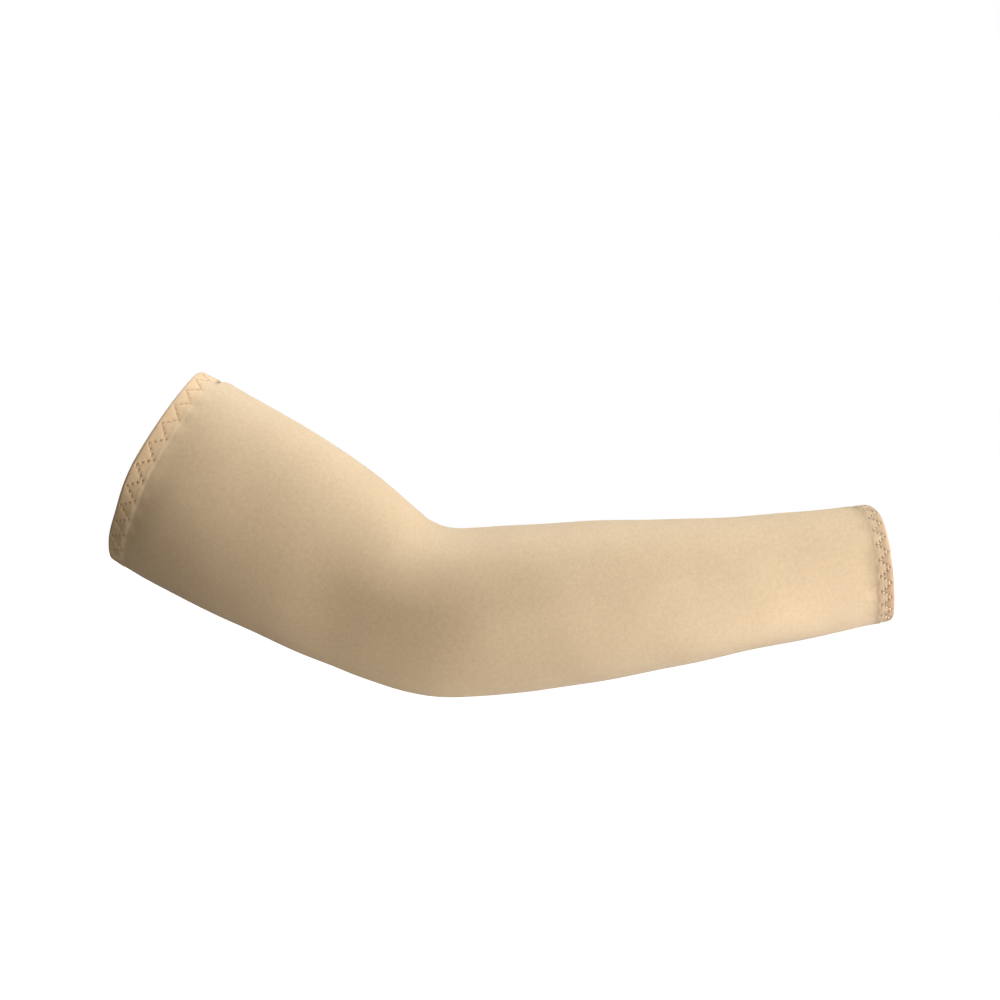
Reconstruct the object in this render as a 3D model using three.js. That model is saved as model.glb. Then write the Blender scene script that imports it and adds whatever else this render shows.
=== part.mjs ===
// Cooling arm sleeve in its worn form: a knit tube, bent at the elbow, with a turned hem at each end.
import * as THREE from 'three';

// Knit and clearances, in millimetres.
const WALL = 1.0;
const GAP = 0.3;

// Centre line: it falls along the upper arm, turns at the elbow and rises along the forearm.
const UPPER_RUN = 127.8;
const FORE_RUN = 194.5;
const ELBOW_RADIUS = 95;
const UPPER_DROP = THREE.MathUtils.degToRad(28);
const FORE_RISE = THREE.MathUtils.degToRad(6.5);

// One row per section: its place along the centre line, its reach to the inner-elbow side and to the
// elbow-point side, and half its depth from front to back.
const SECTIONS = [
  { at: 0, inner: 51.4, point: 51.4, depth: 42.5 },
  { at: 24, inner: 52.2, point: 53.2, depth: 43.6 },
  { at: 59, inner: 51.2, point: 52.6, depth: 43.4 },
  { at: 83, inner: 49.2, point: 51.0, depth: 42.2 },
  { at: 107, inner: 45.2, point: 49.3, depth: 40.6 },
  { at: 130, inner: 40.3, point: 46.9, depth: 39.4 },
  { at: 152, inner: 38.5, point: 46.2, depth: 38.6 },
  { at: 178, inner: 39.7, point: 44.2, depth: 38.2 },
  { at: 202, inner: 38.7, point: 44.2, depth: 37.8 },
  { at: 237, inner: 36.7, point: 43.0, depth: 36.0 },
  { at: 273, inner: 33.5, point: 40.0, depth: 32.4 },
  { at: 308, inner: 30.6, point: 36.4, depth: 28.4 },
  { at: 344, inner: 29.4, point: 33.4, depth: 25.0 },
  { at: 379.5, inner: 29.1, point: 29.5, depth: 22.6 },
];

// Hems: how deep each band is, how far its turned-in layer runs on under the panel, and its fold's radius.
const UPPER_HEM = 9.5;
const WRIST_HEM = 8.5;
const HEM_LAP = 3.0;
const FOLD_RADIUS = 0.9;
const FOLD_STEPS = 4;

// The rims stand out a little at the front and back, and this dies away along the tube.
const RIM_BOW = 1.0;
const BOW_RUN = 60;

// Dip that the stitches pull at each hem's inner edge, and the soft gathers beside the wrist hem.
const DIP_DEPTH = 0.5;
const DIP_RUN = 4;
const GATHERS = 11;
const GATHER_DEPTH = 0.45;
const GATHER_RUN = 26;

// Seam allowance: a flat strip inside the inner-elbow side.
const SEAM_WIDTH = 6.0;
const SEAM_THICKNESS = 1.3;
const SEAM_CLEARANCE = 0.6;
const SEAM_STEPS = 44;
const SEAM_SPLITS = 2;

// Facets of the tube: around it, and along its body with closer rings beside the hems.
const AROUND = 44;
const BODY_RINGS = 27;
const CLOSE_RINGS = [0, 2, 5, 9];

// Radius of the straight tube that every piece is turned on before it is carried to the arm's line.
const CORE = 100;

const KNIT_COLOUR = 0xdcc29c;
const HEM_COLOUR = 0xd6b994;
const SEAM_COLOUR = 0xd9bd97;

const ELBOW_RUN = ELBOW_RADIUS * (UPPER_DROP + FORE_RISE);
const LENGTH = UPPER_RUN + ELBOW_RUN + FORE_RUN;

// Falls smoothly from one at zero to nothing at one and beyond.
function fade(share) {
  const left = THREE.MathUtils.clamp(1 - share, 0, 1);
  return left * left;
}

// Slope of one column at a row, from the rows on each side of it.
function slopeAt(row, column) {
  const before = SECTIONS[Math.max(row - 1, 0)];
  const after = SECTIONS[Math.min(row + 1, SECTIONS.length - 1)];
  return (after[column] - before[column]) / (after.at - before.at);
}

// Smooth value of one column anywhere along the centre line.
function sizeAt(at, column) {
  const place = THREE.MathUtils.clamp(at, 0, SECTIONS[SECTIONS.length - 1].at);
  const next = Math.max(1, SECTIONS.findIndex((section) => section.at >= place));
  const from = SECTIONS[next - 1];
  const to = SECTIONS[next];
  const span = to.at - from.at;
  const share = (place - from.at) / span;
  const ease = share * share * (3 - 2 * share);
  const lead = share * (1 - share) * (1 - share) * span * slopeAt(next - 1, column);
  const trail = share * share * (share - 1) * span * slopeAt(next, column);
  return from[column] + (to[column] - from[column]) * ease + lead + trail;
}

// Centre of the tube and its heading, in the upright plane that the elbow bends in.
function lineAt(at) {
  const turn = THREE.MathUtils.clamp((at - UPPER_RUN) / ELBOW_RADIUS, 0, UPPER_DROP + FORE_RISE);
  const heading = turn - UPPER_DROP;
  const before = Math.min(at, UPPER_RUN);
  const after = Math.max(at - UPPER_RUN - ELBOW_RUN, 0);
  const x = before * Math.cos(UPPER_DROP)
    + ELBOW_RADIUS * (Math.sin(heading) + Math.sin(UPPER_DROP))
    + after * Math.cos(heading);
  const z = -before * Math.sin(UPPER_DROP)
    + ELBOW_RADIUS * (Math.cos(UPPER_DROP) - Math.cos(heading))
    + after * Math.sin(heading);
  return { x, z, heading };
}

// How far the stitches draw the cloth in, or the gathers let it out, at a place on the tube.
function pull(at, angle) {
  const upper = (at - UPPER_HEM) / DIP_RUN;
  const wrist = (at - LENGTH + WRIST_HEM) / DIP_RUN;
  const dips = DIP_DEPTH * (Math.exp(-upper * upper) + Math.exp(-wrist * wrist));
  const gathered = fade(Math.abs(at - LENGTH + WRIST_HEM) / GATHER_RUN);
  return GATHER_DEPTH * gathered * Math.cos(GATHERS * angle) - dips;
}

// Point of the arm's form: along the line, round it from the inner-elbow side, and lifted off the surface.
function onArm(at, angle, lift) {
  const side = Math.sin(angle) * Math.sin(angle);
  const bow = RIM_BOW * side * (fade((LENGTH - at) / BOW_RUN) - fade(at / BOW_RUN));
  const place = at + bow;
  const { x, z, heading } = lineAt(place);
  const reach = sizeAt(place, Math.cos(angle) > 0 ? 'inner' : 'point');
  const depth = sizeAt(place, 'depth');
  const outward = new THREE.Vector2(Math.cos(angle) / reach, Math.sin(angle) / depth).normalize();
  const off = lift + pull(at, angle);
  const up = reach * Math.cos(angle) + off * outward.x;
  const across = depth * Math.sin(angle) + off * outward.y;
  return new THREE.Vector3(x - up * Math.sin(heading), across, z + up * Math.cos(heading));
}

// Carries a geometry from the straight tube on to the arm, given what each of its vertices stands for.
function carry(geometry, read) {
  const places = geometry.getAttribute('position');
  const vertex = new THREE.Vector3();
  for (let i = 0; i < places.count; i += 1) {
    vertex.fromBufferAttribute(places, i);
    const { at, angle, lift } = read(vertex);
    places.setXYZ(i, ...onArm(at, angle, lift).toArray());
  }
  geometry.computeVertexNormals();
  return geometry;
}

// Turns a closed profile of places and lifts into a ring, and carries it on to the arm.
function ring(profile) {
  const points = profile.map(({ at, lift }) => new THREE.Vector2(CORE + lift, at));
  points.push(points[0].clone());
  return carry(new THREE.LatheGeometry(points, AROUND), (v) => ({
    at: v.y,
    angle: Math.atan2(v.x, v.z),
    lift: Math.hypot(v.x, v.z) - CORE,
  }));
}

// Places of the body's rings, closer together beside both hems.
function bodyPlaces() {
  const first = UPPER_HEM + GAP;
  const last = LENGTH - WRIST_HEM - GAP;
  const start = first + CLOSE_RINGS[CLOSE_RINGS.length - 1];
  const end = last - CLOSE_RINGS[CLOSE_RINGS.length - 1];
  const places = CLOSE_RINGS.map((step) => first + step);
  for (let i = 1; i < BODY_RINGS; i += 1) {
    places.push(THREE.MathUtils.lerp(start, end, i / BODY_RINGS));
  }
  return places.concat([...CLOSE_RINGS].reverse().map((step) => last - step));
}

// The panel: one layer of knit, hollow from end to end.
function panelProfile() {
  const places = bodyPlaces();
  const outside = places.map((at) => ({ at, lift: 0 }));
  const inside = [...places].reverse().map((at) => ({ at, lift: -WALL }));
  return outside.concat(inside);
}

// A hem: outer layer, rounded fold at the rim, turned-in layer that laps under the panel's end.
function hemProfile(depth, place) {
  const under = WALL + GAP;
  const inside = under + WALL;
  const profile = [{ at: depth, lift: 0 }];
  for (let i = 0; i <= FOLD_STEPS; i += 1) {
    const turn = (Math.PI / 2) * (i / FOLD_STEPS);
    profile.push({
      at: FOLD_RADIUS * (1 - Math.sin(turn)),
      lift: FOLD_RADIUS * (Math.cos(turn) - 1),
    });
  }
  for (let i = 0; i <= FOLD_STEPS; i += 1) {
    const turn = (Math.PI / 2) * (i / FOLD_STEPS);
    profile.push({
      at: FOLD_RADIUS * (1 - Math.cos(turn)),
      lift: FOLD_RADIUS * (1 - Math.sin(turn)) - inside,
    });
  }
  profile.push({ at: depth, lift: -inside });
  profile.push({ at: depth + HEM_LAP, lift: -inside });
  profile.push({ at: depth + HEM_LAP, lift: -under });
  profile.push({ at: depth, lift: -under });
  return profile.map(({ at, lift }) => ({ at: place(at), lift }));
}

// The seam allowance: a strip under the panel that stops short of both turned-in layers.
function seamGeometry() {
  const first = UPPER_HEM + HEM_LAP + GAP;
  const last = LENGTH - WRIST_HEM - HEM_LAP - GAP;
  const strip = new THREE.BoxGeometry(
    last - first, SEAM_WIDTH, SEAM_THICKNESS, SEAM_STEPS, SEAM_SPLITS, 1,
  );
  const middle = (first + last) / 2;
  const under = WALL + SEAM_CLEARANCE + SEAM_THICKNESS / 2;
  return carry(strip, (v) => ({
    at: middle + v.x,
    angle: Math.asin(v.y / sizeAt(middle + v.x, 'depth')),
    lift: v.z - under,
  }));
}

// One named piece with its own finish.
function piece(name, geometry, color) {
  const finish = new THREE.MeshStandardMaterial({ color, roughness: 0.75, metalness: 0 });
  const mesh = new THREE.Mesh(geometry, finish);
  mesh.name = name;
  return mesh;
}

const sleeve = new THREE.Group();
sleeve.name = 'cooling_arm_sleeve';
sleeve.add(piece('sleeve_panel', ring(panelProfile().reverse()), KNIT_COLOUR));
sleeve.add(piece('upper_hem', ring(hemProfile(UPPER_HEM, (at) => at)), HEM_COLOUR));
sleeve.add(piece('wrist_hem', ring(hemProfile(WRIST_HEM, (at) => LENGTH - at).reverse()), HEM_COLOUR));
sleeve.add(piece('seam_allowance', seamGeometry(), SEAM_COLOUR));

export default sleeve;
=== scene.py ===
"""Cooling arm sleeve in its worn form: knit panel, turned hems, zigzag stitching and the lengthwise seam."""

import logging
import math
from dataclasses import dataclass, field
from enum import Enum

import bpy
import numpy as np
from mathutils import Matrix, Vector


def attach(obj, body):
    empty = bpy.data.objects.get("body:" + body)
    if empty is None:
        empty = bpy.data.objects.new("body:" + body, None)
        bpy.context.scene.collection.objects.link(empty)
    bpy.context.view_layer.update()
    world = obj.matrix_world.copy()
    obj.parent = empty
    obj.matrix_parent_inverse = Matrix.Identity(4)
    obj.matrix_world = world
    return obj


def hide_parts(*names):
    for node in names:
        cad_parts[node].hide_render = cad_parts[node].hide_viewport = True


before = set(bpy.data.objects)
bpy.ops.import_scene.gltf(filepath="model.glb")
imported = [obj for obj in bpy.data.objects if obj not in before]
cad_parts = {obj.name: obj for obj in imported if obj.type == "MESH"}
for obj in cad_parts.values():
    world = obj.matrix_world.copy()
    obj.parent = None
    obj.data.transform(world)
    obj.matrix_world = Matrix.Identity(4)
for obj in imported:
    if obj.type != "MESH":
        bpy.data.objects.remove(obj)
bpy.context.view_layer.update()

LOG = logging.getLogger("arm_sleeve")
BODY = "root"
CLOTH_UV = "UVMap"
TURN = 2 * math.pi
FULL = 1.0
HALF = 0.5
WHITE = (FULL, FULL, FULL, FULL)

Array = np.ndarray
Piece = bpy.types.Object
Place = tuple[float, float, float]
Colour = tuple[float, float, float, float]


class Rim(Enum):
    """The two open ends of the sleeve."""

    UPPER = "upper"
    WRIST = "wrist"


class Slot(Enum):
    """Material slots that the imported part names."""

    KNIT = "knit"
    HEM = "hem"
    THREAD = "thread"


class Side(Enum):
    """Face of a hem that a row of stitches lies on."""

    OUTSIDE = "outside"
    INSIDE = "inside"


class Mark(Enum):
    """Numbers on the cloth's vertices that its finish reads."""

    # Painted shade in the needle holes and in the seam's nick.
    HOLE_SHADE = "needle_hole_shade"
    # Painted shade along the folded rim, where the cloth turns away from the light.
    FOLD_SHADE = "rim_fold_shade"
    # Painted light on the upper hem band.
    UPPER = "upper_band_light"
    # Painted shade on the wrist hem band, stronger on its low side.
    WRIST = "wrist_band_shade"


def bell(distance: Array, width: float) -> Array:
    """Gives a smooth bump that is one at no distance and fades over a width."""
    return np.exp(-np.square(distance / width))


def unit(share: Array) -> Array:
    """Keeps values between nothing and one."""
    return np.clip(share, 0.0, FULL)


def ease(share: Array) -> Array:
    """Gives a smooth step from nothing at zero to one at one."""
    held = unit(share)
    return held * held * (3.0 - 2.0 * held)


def fade(distance: Array, run: float) -> Array:
    """Gives a share that falls from one at no distance to nothing at a run."""
    return np.square(unit(FULL - distance / run))


def between(first: Array | float, last: Array | float, share: Array) -> Array:
    """Gives the value at a share of the way from a first value to a last one."""
    return first + (last - first) * share


def from_seam(share: Array) -> Array:
    """Gives how much of a turn lies between a place and the seam, on its nearer side."""
    return np.minimum(share, FULL - share)


def run_so_far(steps: Array) -> Array:
    """Gives the length run at each point of rows of steps, from nothing at the first."""
    return np.concatenate([np.zeros_like(steps[..., :1]), np.cumsum(steps, axis=-1)], axis=-1)


def stitch_arch(step: Array, power: float = 0.6) -> Array:
    """Gives the flat-topped arch of a stitch between its two needle holes."""
    return np.power(np.sin(math.pi * step), power)


@dataclass(frozen=True)
class Section:
    """One section across the arm: its place along the centre line and its reaches, in metres."""

    at: float
    inner: float
    point: float
    depth: float


ARM_SECTIONS: tuple[Section, ...] = (
    Section(at=0.0000, inner=0.0514, point=0.0514, depth=0.0440),
    Section(at=0.0240, inner=0.0522, point=0.0530, depth=0.0436),
    Section(at=0.0590, inner=0.0512, point=0.0521, depth=0.0412),
    Section(at=0.0830, inner=0.0492, point=0.0509, depth=0.0394),
    Section(at=0.1070, inner=0.0452, point=0.0495, depth=0.0380),
    Section(at=0.1300, inner=0.0403, point=0.0469, depth=0.0389),
    Section(at=0.1410, inner=0.0390, point=0.0459, depth=0.0399),
    Section(at=0.1520, inner=0.0385, point=0.0460, depth=0.0409),
    Section(at=0.1630, inner=0.0389, point=0.0459, depth=0.0418),
    Section(at=0.1780, inner=0.0397, point=0.0445, depth=0.0423),
    Section(at=0.2020, inner=0.0387, point=0.0442, depth=0.0417),
    Section(at=0.2370, inner=0.0367, point=0.0430, depth=0.0386),
    Section(at=0.2730, inner=0.0335, point=0.0400, depth=0.0339),
    Section(at=0.3080, inner=0.0306, point=0.0364, depth=0.0296),
    Section(at=0.3440, inner=0.0294, point=0.0336, depth=0.0258),
    Section(at=0.3795, inner=0.0291, point=0.0295, depth=0.0240),
)


@dataclass
class ArmForm:
    """The form that the cloth is drawn over: an upper arm, an elbow bend and a forearm."""

    # Centre line
    upper_run: float = 0.1278
    fore_run: float = 0.1945
    elbow_radius: float = 0.095
    upper_drop: float = math.radians(28.0)
    fore_rise: float = math.radians(6.5)
    # Low half: drawn in at the upper rim and the elbow, fuller on the forearm
    egg: float = 0.42
    egg_power: float = 1.8
    egg_run: float = 0.095
    elbow_pinch: float = 0.40
    elbow_power: float = 1.4
    elbow_at: float = 0.153
    elbow_spread: float = 0.053
    fore_fullness: float = 0.20
    fore_at: float = 0.290
    fore_spread: float = 0.045
    # Uneven lines of the rims
    upper_bow: float = 0.0012
    upper_bow_top: float = 0.0004
    upper_corner: float = 0.0024
    upper_corner_spread: float = 0.50
    upper_sweep: float = 0.0024
    upper_sweep_power: float = 1.2
    upper_low: float = 0.0019
    upper_low_at: float = -0.80
    upper_low_spread: float = 0.25
    wrist_draw: float = 0.0003
    wrist_tip: float = 0.0018
    wrist_tip_power: float = 4.0
    wrist_corner: float = 0.0022
    corner_spread: float = 0.38
    rim_run: float = 0.060
    # Sections, and how finely they are measured
    sections: tuple[Section, ...] = ARM_SECTIONS
    stations: int = 200
    turns: int = 721
    angle_step: float = 0.02

    def __post_init__(self) -> None:
        """Works out the length, the angle at each share of a turn, and the girths."""
        self.elbow_run = self.elbow_radius * (self.upper_drop + self.fore_rise)
        self.length = self.upper_run + self.elbow_run + self.fore_run
        places = np.linspace(0.0, self.length, self.stations)[:, None]
        angles = np.linspace(0.0, TURN, self.turns)[None, :]
        up, across = self._section_point(places, angles)
        steps = np.hypot(np.diff(up, axis=1), np.diff(across, axis=1))
        run = run_so_far(steps)
        self._girths = run[:, -1]
        shares = np.linspace(0.0, FULL, self.turns)
        self._angles = np.stack([np.interp(shares, row / row[-1], angles[0]) for row in run])

    def _size(self, at: Array, column: str) -> Array:
        """Gives one column of the sections anywhere along the centre line.

        Args:
            at: Places along the centre line.
            column: Name of the section's field.

        Returns:
            The smooth value at each place.
        """
        rows = np.array([row.at for row in self.sections])
        values = np.array([getattr(row, column) for row in self.sections])
        last = len(rows) - 1
        before = np.maximum(np.arange(last + 1) - 1, 0)
        after = np.minimum(np.arange(last + 1) + 1, last)
        slopes = (values[after] - values[before]) / (rows[after] - rows[before])
        place = np.clip(at, 0.0, rows[-1])
        low = np.clip(np.searchsorted(rows, place, side="left") - 1, 0, last - 1)
        span = rows[low + 1] - rows[low]
        share = (place - rows[low]) / span
        lead = share * np.square(FULL - share) * span * slopes[low]
        trail = np.square(share) * (share - FULL) * span * slopes[low + 1]
        return values[low] + (values[low + 1] - values[low]) * ease(share) + lead + trail

    def _section_point(self, at: Array, angle: Array) -> tuple[Array, Array]:
        """Gives a point of the section's outline.

        Args:
            at: Places along the centre line.
            angle: Angles round it from the inner-elbow side.

        Returns:
            The reach towards the inner elbow and the reach across the arm.
        """
        up = np.cos(angle)
        reach = np.where(up > 0.0, self._size(at, "inner"), self._size(at, "point"))
        below = unit(-up)
        drawn_in = self.egg * fade(at, self.egg_run)
        elbow = self.elbow_pinch * bell(at - self.elbow_at, self.elbow_spread)
        fuller = self.fore_fullness * bell(at - self.fore_at, self.fore_spread)
        pinch = drawn_in * np.power(below, self.egg_power)
        pinch = pinch + (elbow - fuller) * np.power(below, self.elbow_power)
        return reach * up, self._size(at, "depth") * np.sin(angle) * (FULL - pinch)

    def _rim_shift(self, at: Array, angle: Array) -> Array:
        """Gives how far the rims' uneven lines carry the cloth along the arm.

        Args:
            at: Places along the centre line.
            angle: Angles round it.

        Returns:
            Shifts towards the wrist, which fade away from the rims.
        """
        side = np.square(np.sin(angle))
        below = unit(-np.cos(angle))
        seam = np.minimum(angle, TURN - angle)
        bow = between(self.upper_bow_top, self.upper_bow, ease(HALF - np.cos(angle))) * side
        upper = self.upper_sweep * np.power(below, self.upper_sweep_power) - bow
        upper = upper - self.upper_corner * bell(seam, self.upper_corner_spread)
        upper = upper - self.upper_low * bell(np.cos(angle) - self.upper_low_at, self.upper_low_spread)
        wrist = self.wrist_tip * np.power(below, self.wrist_tip_power)
        wrist = wrist - self.wrist_draw * (FULL - np.square(below))
        wrist = wrist - self.wrist_corner * bell(seam, self.corner_spread)
        return upper * fade(at, self.rim_run) + wrist * fade(self.length - at, self.rim_run)

    def _line(self, at: Array) -> tuple[Array, Array, Array]:
        """Follows the centre line.

        Args:
            at: Places along it.

        Returns:
            Its X, Z and heading at each place.
        """
        turn = np.clip((at - self.upper_run) / self.elbow_radius, 0.0, self.upper_drop + self.fore_rise)
        heading = turn - self.upper_drop
        before = np.minimum(at, self.upper_run)
        after = np.maximum(at - self.upper_run - self.elbow_run, 0.0)
        x = before * math.cos(self.upper_drop)
        x = x + self.elbow_radius * (np.sin(heading) + math.sin(self.upper_drop)) + after * np.cos(heading)
        z = -before * math.sin(self.upper_drop)
        z = z + self.elbow_radius * (math.cos(self.upper_drop) - np.cos(heading)) + after * np.sin(heading)
        return x, z, heading

    def girth(self, at: Array) -> Array:
        """Gives the length once round the form at each place."""
        return np.interp(at, np.linspace(0.0, self.length, self.stations), self._girths)

    def angle(self, at: Array, share: Array) -> Array:
        """Gives the angle at a share of a turn, measured along the cloth.

        Args:
            at: Places along the centre line.
            share: Shares of a turn from the inner-elbow side.

        Returns:
            Angles round the centre line.
        """
        row = unit(at / self.length) * (self.stations - 1)
        column = unit(share) * (self.turns - 1)
        low_row = np.minimum(row.astype(int), self.stations - 2)
        low_column = np.minimum(column.astype(int), self.turns - 2)
        along = column - low_column
        near, far = (
            between(self._angles[line, low_column], self._angles[line, low_column + 1], along)
            for line in (low_row, low_row + 1)
        )
        return between(near, far, row - low_row)

    def place(self, at: Array, share: Array, lift: Array) -> Array:
        """Puts points of the cloth on the form.

        Args:
            at: Places along the centre line.
            share: Shares of a turn from the inner-elbow side.
            lift: Heights over the form's surface.

        Returns:
            An array of points, one row each.
        """
        angle = self.angle(at, share)
        station = at + self._rim_shift(at, angle)
        x, z, heading = self._line(station)
        up, across = self._section_point(station, angle)
        before = self._section_point(station, angle - self.angle_step)
        after = self._section_point(station, angle + self.angle_step)
        run_up = after[0] - before[0]
        run_across = after[1] - before[1]
        size = np.hypot(run_up, run_across)
        up = up + lift * run_across / size
        across = across - lift * run_up / size
        return np.stack([x - up * np.sin(heading), across, z + up * np.cos(heading)], axis=-1)


@dataclass(frozen=True)
class Zigzag:
    """A three-step zigzag laid out on an unrolled hem, in metres from the rim."""

    repeats: int
    outer: float
    width: float
    start: float = 0.0
    steps: int = 3

    @property
    def inner(self) -> float:
        """Distance of the inner peaks from the rim."""
        return self.outer + self.width

    def _leg(self, girth: float) -> tuple[Array, Array]:
        """Gives a leg's inner and outer ends, measured along the rim and from it."""
        return np.array([0.0, self.inner]), np.array([HALF * girth / self.repeats, self.outer])

    def distances(self, share: Array, across: Array, girth: float) -> tuple[Array, Array]:
        """Measures how far points lie from the stitches.

        Args:
            share: Shares of a turn.
            across: Distances from the rim.
            girth: Length once round the rim.

        Returns:
            Distances to the nearest stitch and to the nearest needle hole.
        """
        start, end = self._leg(girth)
        phase = share * self.repeats - self.start
        run = np.abs(phase - np.round(phase)) * girth / self.repeats
        leg = end - start
        offset = np.stack([run - start[0], across - start[1]], axis=-1)
        along = unit(offset @ leg / (leg @ leg))
        to_line = np.linalg.norm(offset - along[..., None] * leg, axis=-1)
        nearest = np.round(along * self.steps) / self.steps
        to_hole = np.linalg.norm(offset - nearest[..., None] * leg, axis=-1)
        return to_line, to_hole

    def holes(self) -> tuple[Array, Array]:
        """Gives the needle holes in sewing order.

        Returns:
            Shares of a turn and distances from the rim.
        """
        per_repeat = 2 * self.steps
        count = np.arange(self.repeats * per_repeat + 1)
        phase = count / per_repeat
        fall = np.abs(phase - np.round(phase)) / HALF
        return (phase + self.start) / self.repeats, self.outer + self.width * (FULL - fall)


@dataclass
class HemShape:
    """Sizes of one turned hem, and how its cloth rises and falls round its stitches."""

    rim: Rim
    form: ArmForm
    zigzag: Zigzag
    depth: float
    # Layers of cloth
    lap: float = 0.003
    layers: float = 0.0023
    turned: float = 0.0010
    proud: float = 0.00040
    edge_gap: float = 0.0002
    step: float = 0.0024
    # Pull of the stitches
    peak_hold: float = 0.75
    peak_width: float = 0.0021
    held: float = 0.45
    held_width: float = 0.0012
    groove: float = 0.00013
    groove_width: float = 0.00042
    inside_share: float = 0.7
    # Needle holes: their depth, and the painted shade in them
    hole: float = 0.00050
    hole_width: float = 0.00040
    hole_top: float = 0.30
    hole_fade: float = 1.2
    hole_high: float = 0.90
    peak_share: float = 0.80
    step_shade: float = 0.80
    # Hollow and tacks beside the band
    dip: float = 0.00040
    dip_gap: float = 0.0042
    dip_run: float = 0.0062
    dip_top: float = 0.50
    dip_middle: float = 0.25
    tack: float = 0.00014
    tack_run: float = 0.0030
    tack_beat: int = 5
    tack_spread: float = 0.7
    # Rim
    roll: float = 0.00050
    roll_run: float = 0.0018
    flare: float = 0.0009
    flare_turn: float = 0.25
    flare_low: float = 3.0
    flare_power: float = 1.5
    # Seam that crosses the hem
    notch: float = 0.0015
    notch_run: float = 0.0009
    notch_width: float = 0.0095
    notch_shade: float = 0.90
    seam_groove: float = 0.00034
    seam_groove_width: float = 0.00055
    # Painted shade along the fold and on the wrist band, painted light on the upper band
    fold_shade_run: float = 0.0007
    shade_top: float = FULL
    band_fade: float = 0.0050
    band_shift: float = 0.0

    def at(self, across: Array) -> Array:
        """Turns distances from this rim into places along the centre line."""
        return across if self.rim is Rim.UPPER else self.form.length - across

    @property
    def girth(self) -> float:
        """Length once round the rim."""
        return float(self.form.girth(self.at(np.array([0.0])))[0])

    def _notch(self, share: Array, across: Array) -> Array:
        """Gives the nick where the seam crosses the hem's inner edge, from nothing to one."""
        off = from_seam(share) * self.girth
        return bell(across - self.depth, self.notch_run) * bell(off, self.notch_width)

    def _tilt(self, share: Array, across: Array) -> Array:
        """Gives how the stretched rim leans.

        Args:
            share: Shares of a turn.
            across: Distances from the rim.

        Returns:
            Heights: the rim stands out at the sides and turns in below them.
        """
        low = ease((-np.cos(TURN * share) - self.flare_turn) / (FULL - self.flare_turn))
        side = np.power(np.abs(np.sin(TURN * share)), self.flare_power) * (FULL - self.flare_low * low)
        return self.flare * side * unit(FULL - across / self.zigzag.inner)

    def _holes(self, share: Array, across: Array) -> Array:
        """Gives how open the cloth is at the needle holes.

        Args:
            share: Shares of a turn.
            across: Distances from the rim.

        Returns:
            Shares from nothing to one, less towards the seam.
        """
        _, to_hole = self.zigzag.distances(share, across, self.girth)
        low = ease((self.hole_high - np.cos(TURN * share)) / self.hole_fade)
        return between(self.hole_top, FULL, low) * bell(to_hole, self.hole_width)

    def bed(self, share: Array, across: Array) -> Array:
        """Gives the height of the cloth's outer face over the form, without the needle holes.

        Args:
            share: Shares of a turn.
            across: Distances from the rim, on the hem or on the panel beside it.

        Returns:
            Heights: the doubled band, its step down to the panel, and the pull of the stitches.
        """
        to_line, _ = self.zigzag.distances(share, across, self.girth)
        edge = self.zigzag.inner + self.edge_gap
        doubled = self.proud * (FULL - ease((across - edge) / self.step))
        doubled = doubled * (FULL - self.held * bell(to_line, self.held_width))
        turns = self.zigzag.repeats * share - self.zigzag.start
        to_peak = np.abs(turns - np.round(turns)) * self.girth / self.zigzag.repeats
        beyond = np.maximum(across - self.zigzag.inner, 0.0)
        peaks = bell(np.hypot(to_peak, beyond), self.peak_width) * (beyond > 0.0)
        doubled = doubled * (FULL - self.peak_hold * peaks)
        sunk = self.groove * bell(to_line, self.groove_width)
        low = between(self.dip_top, FULL, ease(self.dip_middle - np.cos(TURN * share)))
        low = low * np.abs(np.sin(TURN * share))
        dip = self.dip * bell(across - self.zigzag.inner - self.dip_gap, self.dip_run) * low
        uneven = FULL + self.tack_spread * np.sin(TURN * self.tack_beat * share)
        tack = self.tack * uneven * np.cos(TURN * turns) * bell(across - edge - self.step, self.tack_run)
        rolled = self.roll * fade(across, self.roll_run)
        notch = self.notch * self._notch(share, across)
        seam = self.seam_groove * bell(from_seam(share) * self.girth, self.seam_groove_width)
        return doubled + self._tilt(share, across) - sunk - dip - tack - rolled - notch - seam

    def skin(self, share: Array, across: Array) -> Array:
        """Gives the height of the cloth's outer face over the form, needle holes and all."""
        return self.bed(share, across) - self.hole * self._holes(share, across)

    def lining(self, share: Array, across: Array) -> Array:
        """Gives the height of the turned-in layer's inner face over the form.

        Args:
            share: Shares of a turn.
            across: Distances from the rim.

        Returns:
            Heights, drawn up along the stitches and in the needle holes.
        """
        to_line, to_hole = self.zigzag.distances(share, across, self.girth)
        sunk = self.groove * bell(to_line, self.groove_width) + self.hole * bell(to_hole, self.hole_width)
        pulled = self.proud * self.held * bell(to_line, self.held_width)
        return self.inside_share * (sunk + pulled) + self._tilt(share, across) - self.layers

    def lining_bed(self, share: Array, across: Array) -> Array:
        """Gives the height that the inside thread lies at on the turned-in layer."""
        sunk = self.inside_share * (self.groove + self.proud * self.held)
        return sunk + self._tilt(share, across) - self.layers

    def _hole_mark(self, share: Array, across: Array) -> Array:
        """Gives the painted shade in a needle hole or in the seam's nick, from nothing to one.

        Args:
            share: Shares of a turn.
            across: Distances from the rim.

        Returns:
            Painted shade, stronger in the holes where the zigzag turns.
        """
        middle = self.zigzag.outer + HALF * self.zigzag.width
        turning = np.abs(across - middle) > HALF * self.zigzag.width * self.peak_share
        strength = np.where(turning, FULL, self.step_shade)
        notch = self.notch_shade * self._notch(share, across)
        return np.maximum(strength * self._holes(share, across), notch)

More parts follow.
